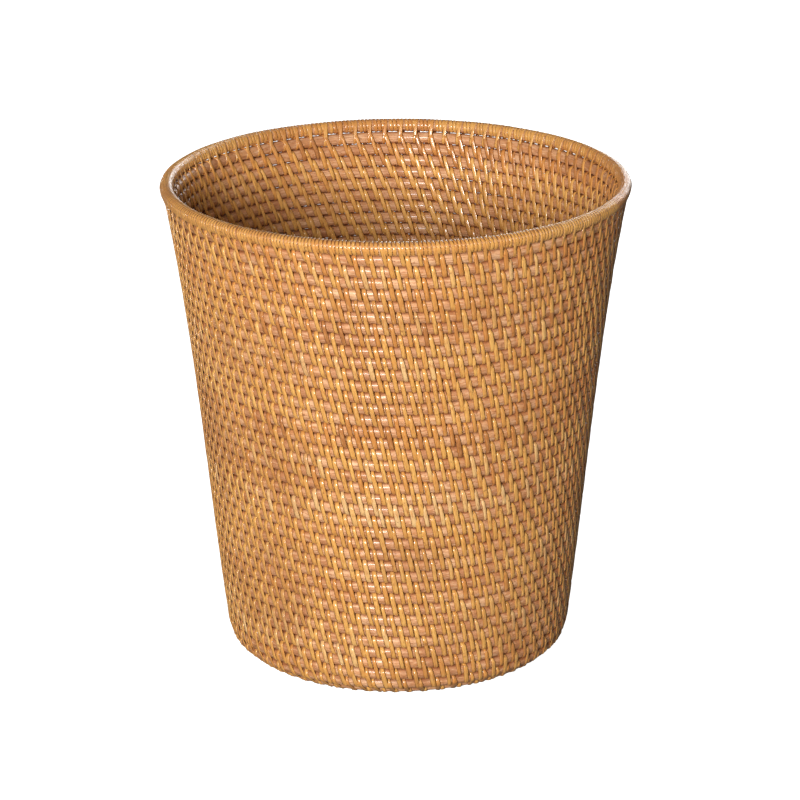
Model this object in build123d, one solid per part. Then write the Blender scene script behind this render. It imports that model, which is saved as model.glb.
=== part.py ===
from build123d import *
import math
import os

# A round wastebasket of coiled rattan.
# Rods run round and round from the middle of the base to the rim, one row beside the next.
# Flat cane lashes each row to its neighbours and covers the rim completely.
# Millimetres. +Z is up. The origin is on the floor, under the middle of the base.

# overall sizes
height = 279.4  # floor to the top of the rim
rim_diameter = 266.7  # outside of the rim
base_diameter = 190.5  # across the middle of the rounded bottom edge
base_corner_radius = 16.0  # outside of the rounded bottom edge
rim_overhang = 2.5  # the rim stands out this much beyond the top of the wall
wall_hollow = 2.4  # the wall curves in from straight, most at two thirds of its height
wall_lean = 7.0  # degrees from upright, at the bottom of the wall

# rods and cane
rod_diameter = 6.45
rim_rod_diameter = 6.6
strip_thickness = 0.35
strip_width = 2.6
weave_clearance = 0.06  # left over where a strip goes between two rows
wrap_clearance = 0.03  # between a strip and the rod that it goes round

# lashing of the base
base_stitch_pitch = 8.7  # along the middle of the lashed pair of rows
rows_past_lashing = 2  # base rows between the lashed pair and the rounded edge

rod_radius = rod_diameter / 2
rod_bore = rod_radius + wrap_clearance  # inside of a strip that goes round a rod
cover = rod_bore + strip_thickness  # a rod's middle to the outside of its strip
row_pitch = rod_diameter + strip_thickness + weave_clearance
rim_bore = rim_rod_diameter / 2 + wrap_clearance
rim_cover = rim_bore + strip_thickness
rim_middle = Vector(rim_diameter / 2 - rim_cover, height - rim_cover)

os.makedirs("parts", exist_ok=True)

# A section point is a Vector of the distance from the axis and the height.


def row_path():
    """The line through the middles of the rows: flat base, rounded edge, wall."""
    edge_x = base_diameter / 2 - base_corner_radius * math.sin(math.radians(45))
    base = Line((0, cover), (edge_x, cover))
    edge = CenterArc((edge_x, base_corner_radius), base_corner_radius - cover, -90, 90 - wall_lean)
    foot = edge @ 1
    top = Vector(rim_diameter / 2 - rim_overhang - cover, rim_middle.Y - rim_cover - cover)
    chord = top - foot
    pull = Vector(9 / 4 * wall_hollow, 0)
    wall = Bezier(foot, foot + chord / 3, foot + chord * 2 / 3 - pull, top)
    return edge_x, Wire([base, edge, wall])


def row_middles(path):
    """Evenly spaced points on the path, from the middle of the base to the top row."""
    count = int(path.length // row_pitch)
    return [path @ (i / count) for i in range(count + 1)]


def ring(middle, radius):
    """A rod bent to a closed circle."""
    return Torus(middle.X, radius).moved(Location((0, 0, middle.Y)))


def turn_round(inner, outer):
    """A turn of cane pulled tight round two neighbouring rods, across the XZ plane."""

    def outline(radius):
        return make_hull([Edge.make_circle(radius, Plane(middle)) for middle in (inner, outer)])

    band = outline(cover) - outline(rod_bore)
    return Rot(90, 0, 0) * extrude(band, strip_width / 2, both=True)


def save(solids, node):
    export_step(Compound(children=solids) if len(solids) > 1 else solids[0], f"parts/{node}.step")


edge_x, path = row_path()
rows = row_middles(path)
base_rows = [r for r in rows[1:] if r.X <= edge_x]
wall_rows = rows[len(base_rows) + 1:]

# rods
knot = Cylinder(rod_radius, rod_diameter).moved(Location((0, 0, cover)))
save([fillet(knot.edges(), rod_radius / 2)], "base_centre_knot")
save([ring(middle, rod_radius) for middle in base_rows], "base_coil")
for i, middle in enumerate(wall_rows, 1):
    save([ring(middle, rod_radius)], f"wall_row_{i:02d}")
save([ring(rim_middle, rim_rod_diameter / 2)], "rim_rod")
save([ring(rim_middle, rim_cover) - ring(rim_middle, rim_bore)], "rim_binding")

# The turns of cane that the basket stands on, round one pair of base rows.
outer_index = len(base_rows) - rows_past_lashing
inner, outer = base_rows[outer_index - 2:outer_index]
turns = round(math.pi * (inner.X + outer.X) / base_stitch_pitch)
turn = turn_round(inner, outer)
save([turn.moved(Rotation(0, 0, 360 * i / turns)) for i in range(turns)], "base_lashing")
print(len(base_rows), "base rows,", len(wall_rows), "wall rows,", turns, "turns under the base")
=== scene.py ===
import bpy
import bmesh
import math
import random
from mathutils import Vector, Matrix


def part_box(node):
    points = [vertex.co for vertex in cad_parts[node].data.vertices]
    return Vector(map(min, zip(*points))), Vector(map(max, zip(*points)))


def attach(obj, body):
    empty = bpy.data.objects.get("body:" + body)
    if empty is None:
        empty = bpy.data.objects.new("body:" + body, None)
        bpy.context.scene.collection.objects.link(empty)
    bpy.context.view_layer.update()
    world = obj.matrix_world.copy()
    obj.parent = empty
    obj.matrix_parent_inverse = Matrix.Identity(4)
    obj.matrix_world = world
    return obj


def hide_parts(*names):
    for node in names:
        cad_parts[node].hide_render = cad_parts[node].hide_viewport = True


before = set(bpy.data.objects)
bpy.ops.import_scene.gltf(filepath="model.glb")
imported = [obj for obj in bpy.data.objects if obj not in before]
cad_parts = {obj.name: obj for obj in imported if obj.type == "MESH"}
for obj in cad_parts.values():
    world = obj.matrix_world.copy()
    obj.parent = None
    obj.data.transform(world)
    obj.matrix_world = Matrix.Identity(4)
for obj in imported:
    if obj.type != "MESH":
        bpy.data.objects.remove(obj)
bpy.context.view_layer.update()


random.seed(11)
mm = 0.001
quarterTurn = math.pi / 2

# rows, from the middle of the base to the rim: radius of the ring, height, radius of the rod

rimSettle = {"down": 0.30 * mm, "fatter": 0.22 * mm}  # the binding pulls the rim on to the top row
sampleRow = 5  # its distance from the next row of the wall stands for all


def ringOf(node):
    low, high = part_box(node)
    tube = (high[2] - low[2]) / 2
    return (high[0] - low[0]) / 2 - tube, (high[2] + low[2]) / 2, tube


wallNodes = sorted(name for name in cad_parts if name.startswith("wall_row_"))
wallRings = [ringOf(name) for name in wallNodes]
rimRadius, rimHeight, rimTube = ringOf("rim_rod")
rimHeight, rimTube = rimHeight - rimSettle["down"], rimTube + rimSettle["fatter"]
baseOuter, baseHeight, rodRadius = ringOf("base_coil")
rowPitch = math.dist(wallRings[sampleRow][:2], wallRings[sampleRow + 1][:2])
baseCount = round(baseOuter / rowPitch)
baseRings = [(baseOuter * (i + 1) / baseCount, baseHeight, rodRadius) for i in range(baseCount)]
rings = baseRings + wallRings + [(rimRadius, rimHeight, rimTube)]
rimRow = len(rings) - 1
topRow = rimRow - 1
lastBase = baseCount - 1
print("rows:", len(baseRings), "base,", len(wallRings), "wall")

# the unevenness of handwork

wobble = {
    "round": 0.45 * mm, "roundTwist": 1.5, "sag": 0.55 * mm, "sagTwist": 2.5, "firmRim": 6,
    "row": 0.13 * mm, "onFloor": 0.3, "thick": 0.10 * mm, "floorEnds": 0.012, "wallStarts": 0.042,
    "waves": 3,
}


def waves(most):
    return [
        (random.randint(1, most), random.uniform(0, math.tau), random.uniform(0.4, 1))
        for _ in range(wobble["waves"])
    ]


def ripple(parts, angle):
    return sum(size * math.sin(n * angle + phase) for n, phase, size in parts) / len(parts)


def partWay(value, low, high):
    return max(0.0, min(1.0, (value - low) / (high - low)))


outOfRound = waves(4)
rowSag = waves(5)
ownRadius = [waves(17) for _ in rings]
ownHeight = [waves(17) for _ in rings]
ownThick = [waves(23) for _ in rings]


def rowMiddle(row, angle):
    # radius, height and rod radius of a row at an angle
    radius, height, tube = rings[row]
    up = partWay(height, 0, rimHeight)
    standing = partWay(height, wobble["floorEnds"], wobble["wallStarts"])
    loose = wobble["onFloor"] + (1 - wobble["onFloor"]) * standing
    sagging = standing * (1 - up ** wobble["firmRim"])
    radius += standing * wobble["round"] * ripple(outOfRound, angle + up * wobble["roundTwist"])
    radius += loose * wobble["row"] * ripple(ownRadius[row], angle)
    height += sagging * wobble["sag"] * ripple(rowSag, angle + up * wobble["sagTwist"])
    height += standing * wobble["row"] * ripple(ownHeight[row], angle)
    return radius, height, tube + wobble["thick"] * ripple(ownThick[row], angle)


# rods are a little squared where they press on each other, most along the line of the rows

press = {"power": 2.45, "stretch": 0.055}


def rowLean(row):
    before, after = rings[max(0, row - 1)], rings[min(rimRow, row + 1)]
    return math.atan2(after[1] - before[1], after[0] - before[0])


def pressed(turn):
    # how far out a rod's surface lies, as a share of its radius, at a turn from the row line
    along, off = abs(math.cos(turn)), abs(math.sin(turn))
    squared = (along ** press["power"] + off ** press["power"]) ** (-1 / press["power"])
    return squared * (1 + press["stretch"] * along ** 2)


def place(angle, radius, height):
    return Vector((radius * math.cos(angle), radius * math.sin(angle), height))


def pieceFrom(bm, name, material, replaced=()):
    bmesh.ops.recalc_face_normals(bm, faces=bm.faces)
    mesh = bpy.data.meshes.new(name)
    bm.to_mesh(mesh)
    bm.free()
    for polygon in mesh.polygons:
        polygon.use_smooth = True
    mesh.materials.append(material)
    piece = bpy.data.objects.new(name, mesh)
    bpy.context.scene.collection.objects.link(piece)
    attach(piece, "root")
    if replaced:
        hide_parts(*replaced)


# rods: a circle spun round the axis, then pushed about by the wobble

rod = {"sides": 12, "stepLength": 2.6 * mm, "fewestSteps": 24}


def rodInto(bm, row):
    radius, height, tube = rings[row]
    upright = Matrix.Translation((radius, 0, height)) @ Matrix.Rotation(quarterTurn, 4, "X")
    start = bmesh.ops.create_circle(bm, segments=rod["sides"], radius=tube, matrix=upright)
    edges = list({edge for vert in start["verts"] for edge in vert.link_edges})
    bmesh.ops.spin(
        bm, geom=start["verts"] + edges, cent=(0, 0, 0), axis=(0, 0, 1), angle=math.tau,
        steps=max(rod["fewestSteps"], round(math.tau * radius / rod["stepLength"])),
        use_merge=True,
    )


def bendRod(bm, row):
    # vertices with a tag belong to rows that are bent already
    radius, height, tube = rings[row]
    crease, tone = bm.verts.layers.float["crease"], bm.verts.layers.float["tone"]
    rowTone = random.random()
    lean = rowLean(row)
    for vert in bm.verts:
        if vert.tag:
            continue
        vert.tag = True
        angle = math.atan2(vert.co.y, vert.co.x)
        across = (math.hypot(vert.co.x, vert.co.y) - radius) / tube
        rise = (vert.co.z - height) / tube
        newRadius, newHeight, newTube = rowMiddle(row, angle)
        turn = math.atan2(rise, across) - lean
        newTube *= pressed(turn)
        vert.co = place(angle, newRadius + across * newTube, newHeight + rise * newTube)
        # crease is 1 where the rod faces the next rows; it masks the painted shade in the gaps
        # between rods
        vert[crease] = math.cos(turn) ** 2
        vert[tone] = rowTone


def makeRod(name, rows, material, replaced):
    bm = bmesh.new()
    for layer in ("crease", "tone"):
        bm.verts.layers.float.new(layer)
    for row in rows:
        rodInto(bm, row)
        bendRod(bm, row)
    pieceFrom(bm, name, material, replaced)


# stitches: where the lashing goes round each two rows

weave = {
    "startStitches": 6, "pitch": 8.55 * mm, "slant": 0.40, "slantVaries": 0.05,
    "placeVaries": 0.07, "pickVaries": 0.1, "evenOut": 0.2, "evenPasses": 5, "turnSteps": 3,
}


def varied(amount):
    return amount * random.uniform(-1, 1)


def widestSpaces(gaps, wanted):
    # the spaces that take two stitches in place of one, kept well apart
    count = len(gaps)
    low, high = 1 - weave["pickVaries"], 1 + weave["pickVaries"]
    ranked = sorted(range(count), key=lambda i: -gaps[i] * random.uniform(low, high))
    room = max(1, count // max(1, wanted + 1)) // 2
    chosen = set()
    for i in ranked:
        if len(chosen) >= wanted:
            break
        if all(min((i - j) % count, (j - i) % count) >= room for j in chosen):
            chosen.add(i)
    return chosen


def evened(angles):
    moved = []
    for i, angle in enumerate(angles):
        before = (angle - angles[i - 1]) % math.tau
        after = (angles[(i + 1) % len(angles)] - angle) % math.tau
        moved.append(angle + weave["evenOut"] * (after - before))
    return moved


def nextAngles(angles, wanted):
    # each stitch goes between two of the row below, and the widest spaces take any extra ones
    count = len(angles)
    gaps = [
        (angles[(i + 1) % count] - angle) % math.tau or math.tau for i, angle in enumerate(angles)
    ]
    doubled = widestSpaces(gaps, wanted - count)
    result = []
    for i, (angle, gap) in enumerate(zip(angles, gaps)):
        shares = (1 / 3, 2 / 3) if i in doubled else (1 / 2,)
        result += [angle + gap * share for share in shares]
    for _ in range(weave["evenPasses"]):
        result = evened(result)
    mean = math.tau / len(result)
    return [angle + varied(mean * weave["placeVaries"]) for angle in result]


def stitchPlaces():
    # stitch middles for every pair of neighbouring rows, from the base to the top of the wall
    places = []
    angles = [math.tau * i / weave["startStitches"] for i in range(weave["startStitches"])]
    for row in range(topRow):
        around = math.pi * (rings[row][0] + rings[row + 1][0])
        angles = nextAngles(angles, round(around / weave["pitch"]))
        places.append(angles)
    return places


# lashing: a flat strip that winds on and on round two rows at a time

strip = {
    "width": 2.85 * mm, "widthVaries": 0.18, "narrows": 0.22, "narrowPower": 4,
    "crown": ((-1, 0.05), (-0.55, 0.38), (0, 0.5), (0.55, 0.38), (1, 0.05)),  # across, lift in mm
    "joinWithin": 0.0001 * mm, "fewestTurns": 12, "mostTurns": 45, "turnVaries": 0.16,
    "toneShape": (2.2, 2.0),
}


def sweep(onUpper, start, steps, total=quarterTurn):
    return [(onUpper, start - total * i / steps) for i in range(steps + 1)]


def belt(steps):
    # one turn round two rods, as (on the upper rod or not, direction)
    # directions run from the top, down the outside and back up the inside
    outside = sweep(True, quarterTurn, steps) + sweep(False, 0, steps)
    inside = sweep(False, -quarterTurn, steps) + sweep(True, math.pi, steps)
    return outside, inside


def sectionPoint(lower, upper, angle, onUpper, turn):
    # a place on the strip and the direction out of it, in the round
    run, rise = upper[0] - lower[0], upper[1] - lower[1]
    length = math.hypot(run, rise)
    run, rise = run / length, rise / length
    radius, height, tube = upper if onUpper else lower
    outR = math.cos(turn) * rise + math.sin(turn) * run
    outZ = -math.cos(turn) * run + math.sin(turn) * rise
    reach = tube * pressed(turn - quarterTurn)
    point = place(angle, radius + outR * reach, height + outZ * reach)
    return point, Vector((outR * math.cos(angle), outR * math.sin(angle), outZ))


def legPoints(row, leg, fromAngle, toAngle, width, tone):
    # points along one side of a turn round a row and the next, with the angle shared by length
    middle = (fromAngle + toAngle) / 2
    lower, upper = rowMiddle(row, middle), rowMiddle(row + 1, middle)
    level = [sectionPoint(lower, upper, middle, *step)[0] for step in leg]
    lengths = [0.0]
    for before, after in zip(level, level[1:]):
        lengths.append(lengths[-1] + (after - before).length)
    points = []
    for (onUpper, turn), done in zip(leg, lengths):
        angle = fromAngle + (toAngle - fromAngle) * done / lengths[-1]
        lower, upper = rowMiddle(row, angle), rowMiddle(row + 1, angle)
        point, out = sectionPoint(lower, upper, angle, onUpper, turn)
        narrowed = strip["narrows"] * abs(math.sin(turn)) ** strip["narrowPower"]
        points.append((point, out, width * (1 - narrowed), tone))
    return points


def ribbonInto(bm, points, raised):
    # a closed strip with a rounded back, laid over a grid that meets itself both ways
    crown, count = strip["crown"], len(points)
    floats = bm.verts.layers.float
    layers = {name: floats.get(name) or floats.new(name) for name in ("tone", "across", "along")}
    start = bmesh.ops.create_grid(bm, x_segments=len(crown), y_segments=count, size=1)
    frames = []
    travelled = 0.0
    for i, (point, out, width, tone) in enumerate(points):
        onward = points[(i + 1) % count][0]
        side = (onward - points[i - 1][0]).cross(out).normalized()
        frames.append((point, out, side, width / 2, tone, travelled))
        travelled += (onward - point).length
    for vert in start["verts"]:
        column = round((vert.co.x + 1) / 2 * len(crown)) % len(crown)
        line = round((vert.co.y + 1) / 2 * count) % count
        across, lift = crown[column]
        point, out, side, half, tone, along = frames[line]
        vert.co = point + side * (half * across) + out * (lift * raised * mm)
        vert[layers["tone"]] = tone
        vert[layers["across"]] = across
        vert[layers["along"]] = along / mm
    bmesh.ops.remove_doubles(bm, verts=start["verts"], dist=strip["joinWithin"])


def makeLashing(name, jobs, material, replaced=(), raised=1.0):
    bm = bmesh.new()
    for points in jobs:
        ribbonInto(bm, points, raised)
    pieceFrom(bm, name, material, replaced)


def stripTones(count):
    # a new strip is spliced in every so often, and keeps nearly one colour to its end
    tones = []
    while len(tones) < count:
        own = random.betavariate(*strip["toneShape"])
        for _ in range(random.randint(strip["fewestTurns"], strip["mostTurns"])):
            tones.append(min(1.0, max(0.0, own + varied(strip["turnVaries"]))))
    return tones[:count]


def rowOfTurns(row, angles):
    # the strip's whole way round a row and the next
    outside, inside = belt(weave["turnSteps"])
    count = len(angles)
    pitch = math.tau / count
    slants = [pitch * (weave["slant"] + varied(weave["slantVaries"])) for _ in angles]
    tones = stripTones(count)
    points = []
    for i, angle in enumerate(angles):
        width = strip["width"] * (1 + varied(strip["widthVaries"]))
        following = (i + 1) % count
        after = angle + (angles[following] - angle) % math.tau - slants[following] / 2
        up, down = angle - slants[i] / 2, angle + slants[i] / 2
        points += legPoints(row, outside, up, down, width, tones[i])
        points += legPoints(row, inside, down, after, width, tones[i])[1:-1]
    return points


rimWrap = {
    "perStitch": 4, "cover": 1.05, "coverVaries": 0.03, "tieSlant": 0.42, "raised": 0.4,
    # the rim's colour is darkened to a duller tone as painted shade
    "shadeTone": 0.75,
}


def rimTurns(angles):
    # close turns round the rim; one in four goes on round the top row of the wall
    tieFront, tieRear = belt(weave["turnSteps"])
    front = sweep(True, quarterTurn, 2 * weave["turnSteps"], math.pi)
    rear = sweep(True, -quarterTurn, 2 * weave["turnSteps"], math.pi)
    count, each = len(angles), rimWrap["perStitch"]
    # the rim's tones are darkened: painted shade against the light its upward faces catch
    tones = [tone * rimWrap["shadeTone"] for tone in stripTones(count * each)]
    points = []
    for i, angle in enumerate(angles):
        pitch = (angles[(i + 1) % count] - angle) % math.tau
        step = pitch / each
        for k in range(each):
            start = angle + step * (k - 0.5)
            width = step * rimRadius * (rimWrap["cover"] + varied(rimWrap["coverVaries"]))
            tone = tones[i * each + k]
            if k == 0:
                down, back, low = tieFront, tieRear, start + pitch * rimWrap["tieSlant"]
            else:
                down, back, low = front, rear, start + step / 2
            points += legPoints(topRow, down, start, low, width, tone)
            points += legPoints(topRow, back, low, start + step, width, tone)[1:-1]
    return points


# materials


class Value:
    # a socket that can be used in sums
    def __init__(self, tree, socket):
        self.tree, self.socket = tree, socket

    def combine(self, operation, other):
        return self.tree.add("ShaderNodeMath", {"operation": operation}, {0: self, 1: other})[0]

    def __add__(self, other):
        return self.combine("ADD", other)

    def __mul__(self, other):
        return self.combine("MULTIPLY", other)

    def __truediv__(self, other):
        return self.combine("DIVIDE", other)

    def __pow__(self, other):
        return self.combine("POWER", other)

    def __rsub__(self, other):
        return self * -1 + other

    __radd__, __rmul__ = __add__, __mul__


class Finish:
    # a material and its nodes
    def __init__(self, name):
        self.material = bpy.data.materials.new(name)
        self.material.use_nodes = True
        self.nodes = self.material.node_tree.nodes
        self.links = self.material.node_tree.links
        self.shader = self.nodes["Principled BSDF"]

    def add(self, kind, settings, inputs):
        # inputs are values or links, by the number or the name of the socket
        node = self.nodes.new(kind)
        for key, setting in settings.items():
            if key == "stops":
                elements = node.color_ramp.elements
                while len(elements) < len(setting):
                    elements.new(0.5)
                for element, (position, colour) in zip(elements, setting):
                    element.position, element.color = position, (*colour, 1)
            else:
                setattr(node, key, setting)
        for key, value in inputs.items():
            self.feed(node.inputs[key], value)
        return [Value(self, socket) for socket in node.outputs]

    def feed(self, socket, value):
        if isinstance(value, Value):
            self.links.new(value.socket, socket)
        elif isinstance(value, tuple) and len(value) == 3 and socket.type == "RGBA":
            socket.default_value = (*value, 1)
        else:
            socket.default_value = value

    def attribute(self, name):
        return self.add("ShaderNodeAttribute", {"attribute_name": name}, {})[2]

    def objectPlace(self):
        return self.add("ShaderNodeTexCoord", {}, {})[3]

    def noise(self, vector, scale, detail, roughness):
        inputs = {"Vector": vector, "Scale": scale, "Detail": detail, "Roughness": roughness}
        return self.add("ShaderNodeTexNoise", {}, inputs)[0]

    def vector(self, x, y, z):
        return self.add("ShaderNodeCombineXYZ", {}, {"X": x, "Y": y, "Z": z})[0]

    def between(self, value, low, high):
        # 0 up to low and 1 from high on
        inputs = {0: value, 1: low, 2: high, 3: 0.0, 4: 1.0}
        return self.add("ShaderNodeMapRange", {"clamp": True}, inputs)[0]

    def mix(self, amount, first, second):
        inputs = {0: amount, 6: first, 7: second}
        return self.add("ShaderNodeMix", {"data_type": "RGBA"}, inputs)[2]

    def ramp(self, value, stops):
        return self.add("ShaderNodeValToRGB", {"stops": stops}, {0: value})[0]

    def stained(self, colour, sources, look):
        for source, low, high, most, shade in look["stains"]:
            amount = self.between(sources[source], low, high) * most
            colour = self.mix(amount, colour, look[shade])
        return colour

    def bump(self, height, distance):
        inputs = {"Strength": 1.0, "Distance": distance, "Height": height}
        return self.add("ShaderNodeBump", {}, inputs)[0]

    def set(self, **sockets):
        for key, value in sockets.items():
            self.feed(self.shader.inputs[key.replace("_", " ")], value)
        return self.material


# noises: scale, or how far they are stretched each way, then detail and roughness
# stains: source, where it starts, where it is full, most of it, shade

caneLook = {
    "honey": (0.74, 0.360, 0.085), "gold": (0.80, 0.425, 0.110), "amber": (0.62, 0.240, 0.055),
    # the darkest colour here colours real specks and also the painted shade at the strip edges
    "pale": (0.82, 0.52, 0.23), "brown": (0.40, 0.150, 0.045), "darkStainAndShade": (0.20, 0.055, 0.014),
    "byTone": ((0.0, "brown"), (0.12, "amber"), (0.40, "honey"), (0.80, "gold"), (1.0, "pale")),
    "fibre": ((3.2, 0.30, 90, 0), 4.0, 0.65), "streak": ((1.6, 0.16, 37, 5), 2.0, 0.5),
    "patch": (18.0, 4.0, 0.6), "speck": (420.0, 2.0, 0.5),
    "stains": (
        ("streak", 0.48, 0.70, 0.70, "amber"),
        ("patch", 0.50, 0.68, 0.55, "brown"),
        ("fibre", 0.51, 0.66, 0.65, "brown"),
        ("fibre", 0.48, 0.30, 0.45, "pale"),
        ("speck", 0.64, 0.72, 0.50, "darkStainAndShade"),
    ),
    "edgeBetween": (0.60, 1.0), "smoothest": 0.20, "roughen": 0.28, "roughBetween": (0.3, 0.8),
    "bump": 0.34 * mm, "bumpFibre": 0.7, "bumpStreak": 0.3,
}


def caneFinish(name, edgeShade):
    f = Finish(name)
    look = caneLook
    tone, across, along = f.attribute("tone"), f.attribute("across"), f.attribute("along")
    spot = f.objectPlace()
    sources = {kind: f.noise(spot, *look[kind]) for kind in ("patch", "speck")}
    # long fibres run with the strip, and each turn has its own
    for kind in ("fibre", "streak"):
        (wide, far, apart, start), *grain = look[kind]
        where = f.vector(across * wide, along * far, tone * apart + start)
        sources[kind] = f.noise(where, 1.0, *grain)
    turnColour = f.ramp(tone, [(position, look[shade]) for position, shade in look["byTone"]])
    # the strip darkens towards its edges: painted shade in the grooves beside the next turn
    edge = f.between(across * across, *look["edgeBetween"])
    fibre = sources["fibre"]
    relief = fibre * look["bumpFibre"] + sources["streak"] * look["bumpStreak"]
    return f.set(
        Base_Color=f.mix(edge * edgeShade, f.stained(turnColour, sources, look), look["darkStainAndShade"]),
        Roughness=look["smoothest"] + f.between(fibre, *look["roughBetween"]) * look["roughen"],
        Normal=f.bump(relief, look["bump"]), Coat_Weight=0.6, Coat_Roughness=0.13,
        Specular_IOR_Level=0.5, Specular_Tint=(1, 0.85, 0.65),
    )


rodLook = {
    "tan": (0.62, 0.29, 0.125), "pink": (0.68, 0.355, 0.185), "orange": (0.60, 0.245, 0.08),
    # the darkest colour here colours real specks and also the painted shade in the creases between
    # rods
    "dark": (0.40, 0.150, 0.060), "pale": (0.82, 0.51, 0.29), "darkStainAndShade": (0.22, 0.060, 0.016),
    "lines": ((22, 1500, 1100), 3.0, 0.65), "bands": ((7, 520, 400), 2.0, 0.5),
    "shade": ((16, 145, 60), 3.0, 0.65), "length": ((2.6, 60), 2.0, 0.6),
    "patch": (20.0, 4.0, 0.6), "speck": (380.0, 2.0, 0.5),
    "stains": (
        ("bands", 0.38, 0.62, 1.00, "pink"),
        ("shade", 0.50, 0.66, 0.80, "orange"),
        ("length", 0.50, 0.66, 0.55, "dark"),
        ("length", 0.46, 0.34, 0.40, "pale"),
        ("lines", 0.50, 0.64, 0.80, "dark"),
        ("lines", 0.46, 0.34, 0.75, "pale"),
        ("patch", 0.50, 0.66, 0.55, "dark"),
        ("speck", 0.64, 0.72, 0.60, "darkStainAndShade"),
    ),
    # the creases between rods turn darker and less glossy: partly varnish pooled there, partly
    # painted shade
    "creaseStainAndShadeBetween": (0.50, 0.95), "creaseStainAndShade": 0.85, "smoothest": 0.34, "roughen": 0.24,
    "bump": 0.35 * mm, "coat": 0.3,
}


def rodFinish(name):
    f = Finish(name)
    look = rodLook
    crease, tone = f.attribute("crease"), f.attribute("tone")
    spot = f.objectPlace()
    x, y, z = f.add("ShaderNodeSeparateXYZ", {}, {0: spot})
    radius = (x * x + y * y) ** 0.5
    east, north = x / radius, y / radius
    sources = {kind: f.noise(spot, *look[kind]) for kind in ("patch", "speck")}
    # fine lines run along the rod
    for kind in ("lines", "bands", "shade"):
        (sideways, high, out), *grain = look[kind]
        where = f.vector(east * sideways, north * sideways, z * high + radius * out)
        sources[kind] = f.noise(where, 1.0, *grain)
    (sideways, apart), *grain = look["length"]
    where = f.vector(east * sideways, north * sideways, tone * apart)
    sources["length"] = f.noise(where, 1.0, *grain)
    # darker and less glossy towards the creases: partly varnish, partly painted shade
    creaseStainAndShade = f.between(crease, *look["creaseStainAndShadeBetween"])
    lines = sources["lines"]
    stained = f.stained(look["tan"], sources, look)
    return f.set(
        Base_Color=f.mix(creaseStainAndShade * look["creaseStainAndShade"], stained, look["darkStainAndShade"]),
        Roughness=look["smoothest"] + lines * look["roughen"],
        Normal=f.bump(lines, look["bump"]), Coat_Weight=look["coat"] * (1 - creaseStainAndShade),
        Coat_Roughness=0.16, Specular_IOR_Level=0.4, Specular_Tint=(1, 0.8, 0.6),
    )


# the edge darkening is painted shade; the rim binding gets less of it
caneMaterial = caneFinish("honeyCane", edgeShade=0.55)
bindingMaterial = caneFinish("rimCane", edgeShade=0.22)
rodMaterial = rodFinish("tanRattan")
print("materials made")

# the basket

makeRod("rimRod", [rimRow], rodMaterial, ["rim_rod"])
makeRod("baseCoil", range(baseCount), rodMaterial, ["base_coil"])
for i, node in enumerate(wallNodes):
    makeRod(f"wallRod_{i + 1:02d}", [baseCount + i], rodMaterial, [node])
print("rods made")

places = stitchPlaces()
baseJobs = [rowOfTurns(row, places[row]) for row in range(lastBase)]
makeLashing("baseLashing", baseJobs, caneMaterial, ["base_lashing"])
for row in range(lastBase, topRow):
    job = rowOfTurns(row, places[row])
    makeLashing(f"wallLashing_{row - lastBase + 1:02d}", [job], caneMaterial)
rimJob = rimTurns(nextAngles(places[-1], len(places[-1])))
makeLashing("rimBinding", [rimJob], bindingMaterial, ["rim_binding"], rimWrap["raised"])
print("lashing made:", sum(len(row) for row in places), "stitches")

centreKnot = {"radius": 3.9 * mm, "tall": 3.4 * mm, "around": 20, "up": 12}


def makeKnot():
    bm = bmesh.new()
    flatten = Matrix.Diagonal((1, 1, centreKnot["tall"] / centreKnot["radius"], 1))
    bmesh.ops.create_uvsphere(
        bm, u_segments=centreKnot["around"], v_segments=centreKnot["up"],
        radius=centreKnot["radius"], matrix=Matrix.Translation((0, 0, baseHeight)) @ flatten,
    )
    pieceFrom(bm, "centreKnot", rodMaterial, ["base_centre_knot"])


makeKnot()
print("centre knot made")

# camera, lights and floor

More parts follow.
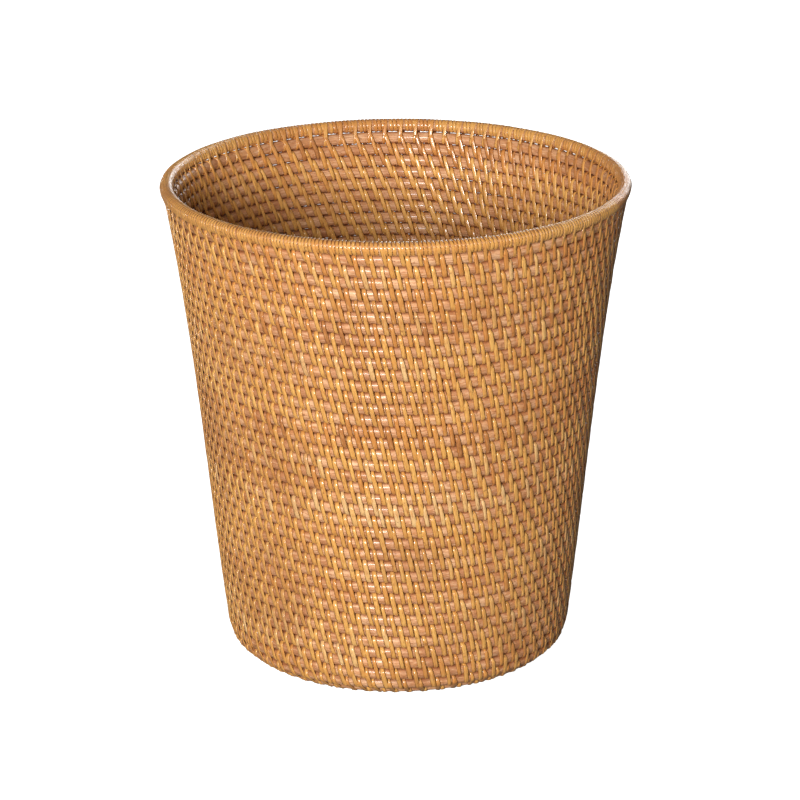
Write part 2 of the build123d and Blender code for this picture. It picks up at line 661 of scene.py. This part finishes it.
view = {
    "distance": 2.001, "elevation": 19.19, "aim": 0.1454, "sensor": 36, "lens": 155.7,
    "roll": 0.33, "shift": 0.0039, "farthest": 50,
}
lamps = {
    "key": {"size": 0.55, "power": 64.0, "where": (-0.45, -2.12, 0.80)},
    "top": {"size": 0.25, "power": 2.0, "where": (-0.3, -0.75, 2.25)},
    "behind": {"size": 1.2, "power": 22.0, "where": (0.8, 2.2, 0.7)},
}
lampAim = (0, 0, 0.14)
sky = {"strength": 0.12, "colour": (1, 0.95, 0.88, 1)}
paper = {"size": 12, "colour": (0.9, 0.9, 0.9), "roughness": 0.9, "glow": (1, 1, 1)}


def makeCamera():
    data = bpy.data.cameras.new("camera")
    data.sensor_width, data.lens = view["sensor"], view["lens"]
    data.shift_x, data.clip_end = view["shift"], view["farthest"]
    camera = bpy.data.objects.new("camera", data)
    bpy.context.scene.collection.objects.link(camera)
    tilt = math.radians(view["elevation"])
    away, above = view["distance"] * math.cos(tilt), view["distance"] * math.sin(tilt)
    camera.location = (0, -away, view["aim"] + above)
    roll = Matrix.Rotation(math.radians(-view["roll"]), 4, "Z")
    turned = Matrix.Rotation(quarterTurn - tilt, 4, "X") @ roll
    camera.rotation_euler = turned.to_euler()
    bpy.context.scene.camera = camera


def makeLamp(name, size, power, where):
    data = bpy.data.lights.new(name, "AREA")
    data.size, data.energy = size, power
    lamp = bpy.data.objects.new(name, data)
    lamp.location = where
    toward = Vector(lampAim) - Vector(where)
    lamp.rotation_euler = toward.to_track_quat("-Z", "Y").to_euler()
    bpy.context.scene.collection.objects.link(lamp)


def makeSky():
    world = bpy.data.worlds.new("studio")
    world.use_nodes = True
    inputs = world.node_tree.nodes["Background"].inputs
    inputs["Strength"].default_value = sky["strength"]
    inputs["Color"].default_value = sky["colour"]
    bpy.context.scene.world = world


def makeFloor():
    # glowing white paper that gives the basket no light
    bm = bmesh.new()
    bmesh.ops.create_grid(bm, x_segments=1, y_segments=1, size=paper["size"])
    mesh = bpy.data.meshes.new("floor")
    bm.to_mesh(mesh)
    bm.free()
    floor = bpy.data.objects.new("floor", mesh)
    bpy.context.scene.collection.objects.link(floor)
    mesh.materials.append(Finish("whitePaper").set(
        Base_Color=paper["colour"], Roughness=paper["roughness"],
        Emission_Color=paper["glow"], Emission_Strength=1.0,
    ))
    floor.visible_diffuse = floor.visible_glossy = False


makeCamera()
bpy.context.scene.view_settings.view_transform = "Standard"
makeSky()
for name, lamp in lamps.items():
    makeLamp(name, **lamp)
makeFloor()
print("camera and lights set")
